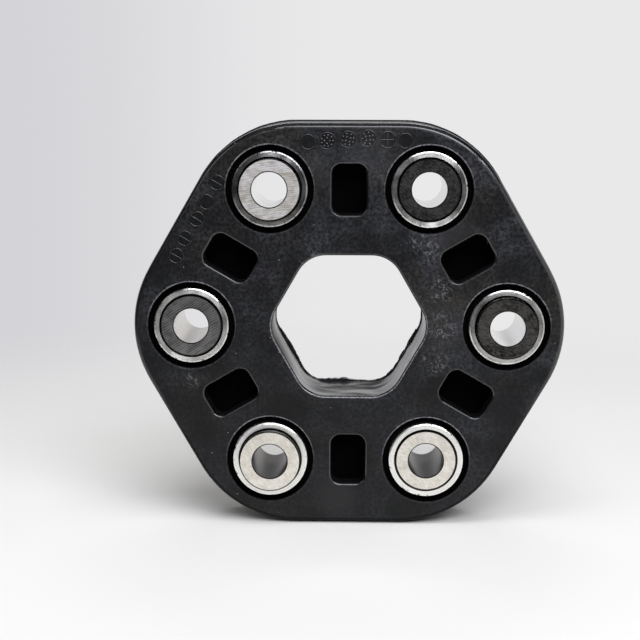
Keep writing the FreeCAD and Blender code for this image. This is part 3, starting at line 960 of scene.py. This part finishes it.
@dataclass
class RubberBody:
    """The moulded body with its flash and the marks of the mould."""

    hole_flats: float = 49.5
    hole_corner: float = 11.0
    hole_flash_level: float = 13.1
    hole_flash: float = 1.5
    hole_fin: float = 0.3
    flash_lean: float = math.radians(-75)
    body_flats: float = 142.26
    body_corner: float = 40.25
    rim_flash: float = 0.28
    rim_fin: float = 0.22
    rim_root: float = 0.2
    mark_ring: float = 2.75
    small_ring: float = 2.5
    mark_root: float = 0.1
    mark_line: float = 0.36
    mark_height: float = 0.2
    bar_line: float = 0.26
    bar_height: float = 0.34
    bar_lean: float = math.radians(-30)
    dot_radius: float = 0.34
    dot_height: float = 0.45
    dotted: tuple[Pair, ...] = ((-7.75, 64.3), (-0.57, 64.8), (6.19, 65.2))
    crossed: Pair = (13.0, 64.7)
    barred: tuple[Pair, ...] = ((-45.7, 49.9), (-52.7, 37.3), (-57.0, 30.6), (-60.0, 24.5))
    plain: tuple[Pair, ...] = ((-49.3, 43.2), (-14.4, 63.9), (19.0, 64.4))
    finish: MouldedRubber = field(default_factory=MouldedRubber)

    def build(self) -> list[Object]:
        """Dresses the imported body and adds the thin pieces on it.

        Returns:
            The new pieces.
        """
        marks = [*self.dotted, self.crossed, *self.barred, *self.plain]
        rubber = self.finish.material(marks, self.mark_ring)
        dress("rubber_body", rubber)
        meshes = {
            "hole_flash": self.flash_in_hole(), "rim_flash": self.flash_on_rim(),
            "mould_mark_dots": self.dotted_marks(), "mould_mark_cross": self.crossed_mark(),
            "mould_mark_bars": self.barred_marks(), "mould_mark_rings": self.plain_marks(),
        }
        pieces = [mesh_piece(name, *mesh, rubber) for name, mesh in meshes.items()]
        for piece in pieces:
            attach(piece, "root")
        return pieces

    def flash_in_hole(self) -> Mesh:
        """A torn fin round the back edge of the middle hole: its outline, with an uneven height inwards.

        Returns:
            Points and faces.
        """
        count = 900
        path, out = rounded_hexagon(self.hole_flats, self.hole_corner, count)
        path[:, 1] = self.hole_flash_level + 0.12 * ragged(count, 5, (40, 90))
        lean = 0.5 + 0.5 * out @ np.array([math.cos(self.flash_lean), 0.0, math.sin(self.flash_lean)])
        torn = 0.2 + 0.8 * ragged(count, 299, (14, 60, 230)) ** 1.4
        height = self.hole_flash * (0.4 + 0.6 * lean) * torn
        return ridge(path, -out, BACKWARDS, self.hole_fin, height, self.hole_fin, True)

    def flash_on_rim(self) -> Mesh:
        """A torn fin on the crest of the parting line: the body's outline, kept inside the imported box.

        Returns:
            Points and faces.
        """
        count = 1400
        path, out = rounded_hexagon(self.body_flats, self.body_corner, count)
        path[:, 1] = 0.5 * (ragged(count, 3, (30, 80)) - 0.5)
        height = self.rim_flash * ragged(count, 23, (24, 120, 400)) ** 1.8 + 0.01
        points, quads = ridge(path, out, BACKWARDS, self.rim_fin, height, self.rim_root, True)
        low, high = (np.array(corner) / MM for corner in CAD_BOX)
        return np.clip(points, low, high), quads

    def circle(self, centre: Pair, radius: float, count: int = 56) -> Mesh:
        """A raised ring on the front face: a ridge along a circle.

        Args:
            centre: Its X and Z.
            radius: Its radius.
            count: How many points it has.

        Returns:
            Points and faces.
        """
        turn = np.linspace(0, 2 * np.pi, count, endpoint=False)
        side = np.stack([np.cos(turn), np.zeros(count), np.sin(turn)], -1)
        path = np.array([centre[0], -FACE_LEVEL, centre[1]]) + radius * side
        return ridge(path, FORWARDS, side, self.mark_line, self.mark_height, self.mark_root, True)

    def bar(self, start: Pair, end: Pair, count: int = 24) -> Mesh:
        """A raised line on the front face: a ridge that narrows to a point at both ends.

        Args:
            start: The X and Z of one end.
            end: The X and Z of the other.
            count: How many points it has.

        Returns:
            Points and faces.
        """
        share = np.linspace(0, 1, count)[:, None]
        first, last = np.array([start[0], -FACE_LEVEL, start[1]]), np.array([end[0], -FACE_LEVEL, end[1]])
        along = (last - first) / np.linalg.norm(last - first)
        taper = np.sqrt(np.clip(1 - (2 * share[:, 0] - 1) ** 8, 0, 1))
        path = first + (last - first) * share
        side = np.cross(along, BACKWARDS)
        width, height = self.bar_line * taper, self.bar_height * taper
        return ridge(path, FORWARDS, side, width, height, self.mark_root, False)

    def dot(self, centre: Pair) -> Mesh:
        """A raised dot: a flattened ball on the face, its height the radius's share of a half circle.

        Args:
            centre: Its X and Z.

        Returns:
            Points and faces.
        """
        rows, columns = 7, 10
        fall = np.linspace(0, np.pi, rows)[:, None]
        turn = np.linspace(0, 2 * np.pi, columns, endpoint=False)[None]
        x = centre[0] + self.dot_radius * np.sin(fall) * np.cos(turn)
        y = -FACE_LEVEL - self.dot_height * np.cos(fall) * np.ones_like(turn)
        z = centre[1] + self.dot_radius * np.sin(fall) * np.sin(turn)
        return np.stack([x, y, z], -1).reshape(-1, 3), grid_quads(rows, columns, False, True)

    def dotted_marks(self) -> Mesh:
        """Three round inserts with dots in a ring and about the middle.

        Returns:
            Points and faces.
        """
        parts = []
        for number, (x, z) in enumerate(self.dotted):
            parts.append(self.circle((x, z), self.mark_ring))
            for ring, count in ((0.72, 9 - number), (0.34, 4)):
                for k in range(count):
                    angle = 2 * math.pi * (k + 0.3 * number) / count
                    reach = ring * self.mark_ring
                    parts.append(self.dot((x + reach * math.cos(angle), z + reach * math.sin(angle))))
        return joined(parts)

    def crossed_mark(self) -> Mesh:
        """A round insert with two lines across it.

        Returns:
            Points and faces.
        """
        x, z = self.crossed
        reach = self.mark_ring
        return joined([
            self.circle((x, z), reach),
            self.bar((x - reach, z), (x + reach, z)),
            self.bar((x, z - reach), (x, z + reach)),
        ])

    def barred_marks(self) -> Mesh:
        """Rings with one line across them, in a row beside the upper left flat.

        Returns:
            Points and faces.
        """
        parts = []
        right, up = self.small_ring * math.cos(self.bar_lean), self.small_ring * math.sin(self.bar_lean)
        for x, z in self.barred:
            parts.append(self.circle((x, z), self.small_ring))
            parts.append(self.bar((x - right, z - up), (x + right, z + up)))
        return joined(parts)

    def plain_marks(self) -> Mesh:
        """A plain ring in that row, and one at each end of the row of inserts."""
        return joined([self.circle(centre, self.small_ring) for centre in self.plain])


@dataclass
class Bushings:
    """The steel sleeves, the collars round them and the cord loops between them."""

    level: CutSteel = CutSteel(
        "band_sawn_steel", FaceCut.SAWN_LEVEL, "#ffffff", "#c8bfb0", "#f8f6f2", "#ffffff",
        roughness=0.47, groove_pitch=0.7, groove_depth=0.055, groove_length=5.0, evenness=0.3
    )
    slanted: CutSteel = CutSteel(
        "slant_sawn_steel", FaceCut.SAWN_SLANTED, "#989796", "#5b5a59", "#c2bcb4", "#dedad6",
        roughness=0.36, groove_pitch=0.8, groove_depth=0.022, groove_length=8.0, evenness=0.5
    )
    blasted: CutSteel = CutSteel(
        "shot_blasted_steel", FaceCut.BLASTED, "#6b6966", "#282827", "#f4f2ee", "#ffffff",
        roughness=0.36, groove_pitch=0.42, groove_depth=0.012, groove_length=2.5, evenness=0.0
    )
    # Its dark bore colours are painted shade in the bores of the two lower bushings.
    ground: CutSteel = CutSteel(
        "surface_ground_steel", FaceCut.GROUND, "#f8f4eb", "#d6d0c4", "#5a5653", "#6f6b68",
        roughness=0.3, groove_pitch=0.34, groove_depth=0.006, groove_length=5.0, evenness=0.1,
        bore_roughness=0.34
    )
    # One turned steel: the dull ring's darker tones are painted shade, and the bright rings' paler tones are
    # a painted reflection of the floor.
    dull: TurnedSteel = TurnedSteel("turned_steel_painted_shade", "#d2d0ce", "#8b8987")
    plain: TurnedSteel = TurnedSteel("turned_steel", "#fdfcf8", "#c8c7c2")
    bright: TurnedSteel = TurnedSteel(
        "turned_steel_painted_reflection", "#fffffb", "#f4f3ec", roughness=0.34, drawn_out=0.5
    )
    cord: WoundCord = field(default_factory=WoundCord)

    def build(self) -> int:
        """Dresses every steel node and every cord loop.

        Returns:
            How many nodes were dressed.
        """
        cuts = {
            1: self.blasted, 2: self.blasted, 3: self.level,
            4: self.slanted, 5: self.ground, 6: self.ground
        }
        rings = {1: self.plain, 2: self.plain, 3: self.dull, 4: self.plain, 5: self.bright, 6: self.bright}
        made = {finish: finish.material() for finish in dict.fromkeys([*cuts.values(), *rings.values()])}
        cord = self.cord.material()
        count = 0
        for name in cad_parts:
            if name.startswith("sleeve"):
                dress(name, made[cuts[int(name[-1])]])
            elif "collar" in name:
                dress(name, made[rings[int(name[-1])]])
            elif "cord_loop" in name:
                dress(name, cord)
            else:
                continue
            count += 1
        return count


@dataclass(frozen=True)
class Lamp:
    """A soft panel that faces the disc.

    Its azimuth is 0 towards the camera and 90 to the right, in degrees like its elevation over the horizon.
    The distance and the panel's width and height are in metres. Polished things may or may not mirror it.
    """

    name: str
    azimuth: float
    elevation: float
    distance: float
    panel: Pair
    watts: float
    colour: str
    mirrored: bool = True

    def build(self) -> None:
        """Puts the lamp in the scene."""
        a, e = math.radians(self.azimuth), math.radians(self.elevation)
        towards = Vector((math.sin(a) * math.cos(e), -math.cos(a) * math.cos(e), math.sin(e)))
        lamp = bpy.data.lights.new(self.name, "AREA")
        lamp.shape = "RECTANGLE"
        lamp.size, lamp.size_y = self.panel
        lamp.energy = self.watts
        lamp.color = linear(self.colour)[:3]
        holder = bpy.data.objects.new(self.name, lamp)
        holder.visible_glossy = self.mirrored
        holder.location = towards * self.distance
        holder.rotation_mode = "QUATERNION"
        holder.rotation_quaternion = (-towards).to_track_quat("-Z", "Y")
        bpy.context.scene.collection.objects.link(holder)


@dataclass
class Studio:
    """A plain pale floor, a pale surround, soft lamps and the camera.

    Polished things mirror the surround as a room: pale behind up to a low edge and on the right, grey above,
    and dark on the left and in front. The floor fades between two distances in metres, and the edges of the
    surround are shares of the direction to it, from -1 to 1.
    """

    camera_place: Triple = (1.18, -511.30, 78.74)
    pitch: float = 8.757
    yaw: float = -1.289
    roll: float = 0.164
    lens: float = 81.14
    floor_colour: str = "#f4f4f0"
    backdrop_left: str = "#d4d3d7"
    backdrop_right: str = "#e9e9ea"
    left_wall: str = "#3c3c40"
    right_wall: str = "#f4f4f6"
    ceiling: str = "#77777b"
    room: str = "#37383c"
    fill: str = "#7e7d7d"
    bright_floor: Pair = (-0.5, -0.36)
    floor_fade: Pair = (0.13, 0.5)
    backdrop_turn: Pair = (-0.24, 0.0)
    pale_slant: float = 0.4
    pale_side: Pair = (-0.35, 0.25)
    pale_top: Pair = (0.2, 0.27)
    wall_side: Pair = (0.45, 0.75)
    wall_top: Pair = (0.3, 0.45)
    ceiling_edge: Pair = (0.8, 0.95)
    lamps: tuple[Lamp, ...] = (
        Lamp("key_panel", 16, 38, 1.25, (1.1, 0.6), 13.0, "#f8f8ff"),
        Lamp("left_panel", -58, 34, 1.3, (0.4, 0.6), 0.8, "#ffffff"),
        Lamp("top_panel", 10, 72, 1.3, (1.0, 0.6), 7.2, "#fbfbff", False),
        Lamp("back_panel", 180, 42, 1.3, (0.7, 0.25), 2.5, "#fbfbff"),
    )

    def build(self) -> None:
        """Builds the floor, the surround, the lamps and the camera."""
        self.build_floor()
        self.build_world()
        for lamp in self.lamps:
            lamp.build()
        self.build_camera()

    def seen(self, add: Add) -> Node:
        """1 for rays from the camera, reflections and glass, and 0 for light that falls on things.

        Args:
            add: Adds a node to the tree.

        Returns:
            The value.
        """
        path = add("LightPath").outputs
        straight, mirrored = path["Is Camera Ray"], path["Is Glossy Ray"]
        mirror = add("Math", {0: straight, 1: mirrored}, operation="MAXIMUM")
        return add("Math", {0: mirror, 1: path["Is Transmission Ray"]}, operation="MAXIMUM")

    def build_floor(self) -> None:
        """A level sheet that fades into the surround, a grid of rings and spokes about the middle."""
        spokes = 48
        reach = np.array([0.0, 150.0, 400.0, 1000.0, 4000.0])
        turn = np.linspace(0, 2 * np.pi, spokes, endpoint=False)
        x, y = reach[:, None] * np.cos(turn), reach[:, None] * np.sin(turn)
        z = np.full_like(x, CAD_BOX[0].z / MM)
        points = np.stack([x, y, z], -1).reshape(-1, 3)
        quads = grid_quads(reach.size, spokes, False, True)
        mesh_piece("floor_sheet", points, quads, self.floor_material())

    def floor_material(self) -> Material:
        """Matt white paper that thins out with the distance, so that the surround shows through it.

        Returns:
            The material.
        """
        material, add, shader = new_material("matt_white_paper")
        feed(shader, {
            "Base Color": self.floor_colour, "Roughness": 0.9, "Specular IOR Level": 0.1,
        })
        place = add("TexCoord").outputs["Object"]
        away = add("VectorMath", {0: place}, operation="LENGTH").outputs["Value"]
        start, end = self.floor_fade
        fade = add("MapRange", {0: away, 1: start, 2: end}, **SMOOTH)
        _, ahead, _ = add("SeparateXYZ", {0: place}).outputs
        first, last = self.bright_floor
        front = add("MapRange", {0: ahead, 1: first, 2: last, 3: 1.0, 4: 0.0}, **SMOOTH)
        mirrored = add("LightPath").outputs["Is Glossy Ray"]
        dark = add("Math", {0: front, 1: mirrored}, **TIMES)
        cover = add("Math", {0: fade, 1: dark}, operation="MAXIMUM")
        share = add("Math", {0: cover, 1: self.seen(add)}, **TIMES)
        both = add("MixShader", {0: share, 1: shader, 2: add("BsdfTransparent")})
        feed(material.node_tree.nodes["Material Output"], {"Surface": both})
        return material

    def build_world(self) -> None:
        """The surround that is seen and mirrored, and an even fill light for everything else."""
        world = bpy.data.worlds.new("studio_surround")
        bpy.context.scene.world = world
        world.use_nodes = True
        add = partial(add_node, world.node_tree)
        way = add("TexCoord").outputs["Generated"]
        aside, ahead, up = add("SeparateXYZ", {0: way}).outputs
        slanting = add("Math", {0: aside, 1: self.pale_slant, 2: ahead}, operation="MULTIPLY_ADD")
        # What is measured, where its step starts and ends, and the share before and after it.
        steps = (
            (aside, *self.backdrop_turn, 0.0, 1.0),
            (slanting, *self.pale_side, 0.0, 1.0),
            (up, *self.ceiling_edge, 0.0, 1.0),
            (up, *self.pale_top, 1.0, 0.0),
            (up, *self.wall_top, 1.0, 0.0),
        )
        side, behind, above, low, tall = (
            add("MapRange", {0: value, 1: start, 2: end, 3: first, 4: last}, **SMOOTH)
            for value, start, end, first, last in steps
        )
        wall = add("MixRGB", {0: side, 1: self.backdrop_left, 2: self.backdrop_right})
        pale = add("Math", {0: behind, 1: low}, **TIMES)
        room = add("MixRGB", {0: above, 1: self.room, 2: self.ceiling})
        mirrored = add("MixRGB", {0: pale, 1: room, 2: wall})
        start, end = self.wall_side
        for colour, first, last in ((self.right_wall, start, end), (self.left_wall, -start, -end)):
            reach = add("MapRange", {0: aside, 1: first, 2: last}, **SMOOTH)
            share = add("Math", {0: reach, 1: tall}, **TIMES)
            free = add("Math", {0: share, 1: pale}, **LESS)
            mirrored = add("MixRGB", {0: free, 1: mirrored, 2: colour})

        path = add("LightPath").outputs
        straight = add("MixRGB", {0: path["Is Camera Ray"], 1: mirrored, 2: wall})
        light = add("MixRGB", {0: self.seen(add), 1: self.fill, 2: straight})
        feed(world.node_tree.nodes["Background"], {"Color": light})

    def build_camera(self) -> None:
        """The camera at the photograph's angle."""
        pitch, yaw, roll = (math.radians(a) for a in (self.pitch, self.yaw, self.roll))
        ahead = Vector((math.sin(yaw) * math.cos(pitch), math.cos(yaw) * math.cos(pitch), -math.sin(pitch)))
        level = Vector((math.cos(yaw), -math.sin(yaw), 0.0))
        above = level.cross(ahead)
        right = level * math.cos(roll) + above * math.sin(roll)
        up = above * math.cos(roll) - level * math.sin(roll)
        data = bpy.data.cameras.new("camera")
        data.sensor_width, data.lens = 36.0, self.lens
        data.clip_start, data.clip_end = 0.01, 20.0
        camera = bpy.data.objects.new("camera", data)
        turned = Matrix((right, up, -ahead)).transposed().to_4x4()
        camera.matrix_world = Matrix.Translation(Vector(self.camera_place) * MM) @ turned
        bpy.context.scene.collection.objects.link(camera)
        bpy.context.scene.camera = camera


def main() -> None:
    """Builds the looks of every piece in turn and reports it."""
    logging.basicConfig(level=logging.INFO, format="%(name)s: %(message)s")
    bpy.context.scene.view_settings.view_transform = "Standard"
    Studio().build()
    for piece in RubberBody().build():
        LOG.info("%s: %d faces", piece.name, len(piece.data.polygons))
    LOG.info("steel and cord nodes dressed: %d", Bushings().build())


if __name__ == "__main__":
    main()
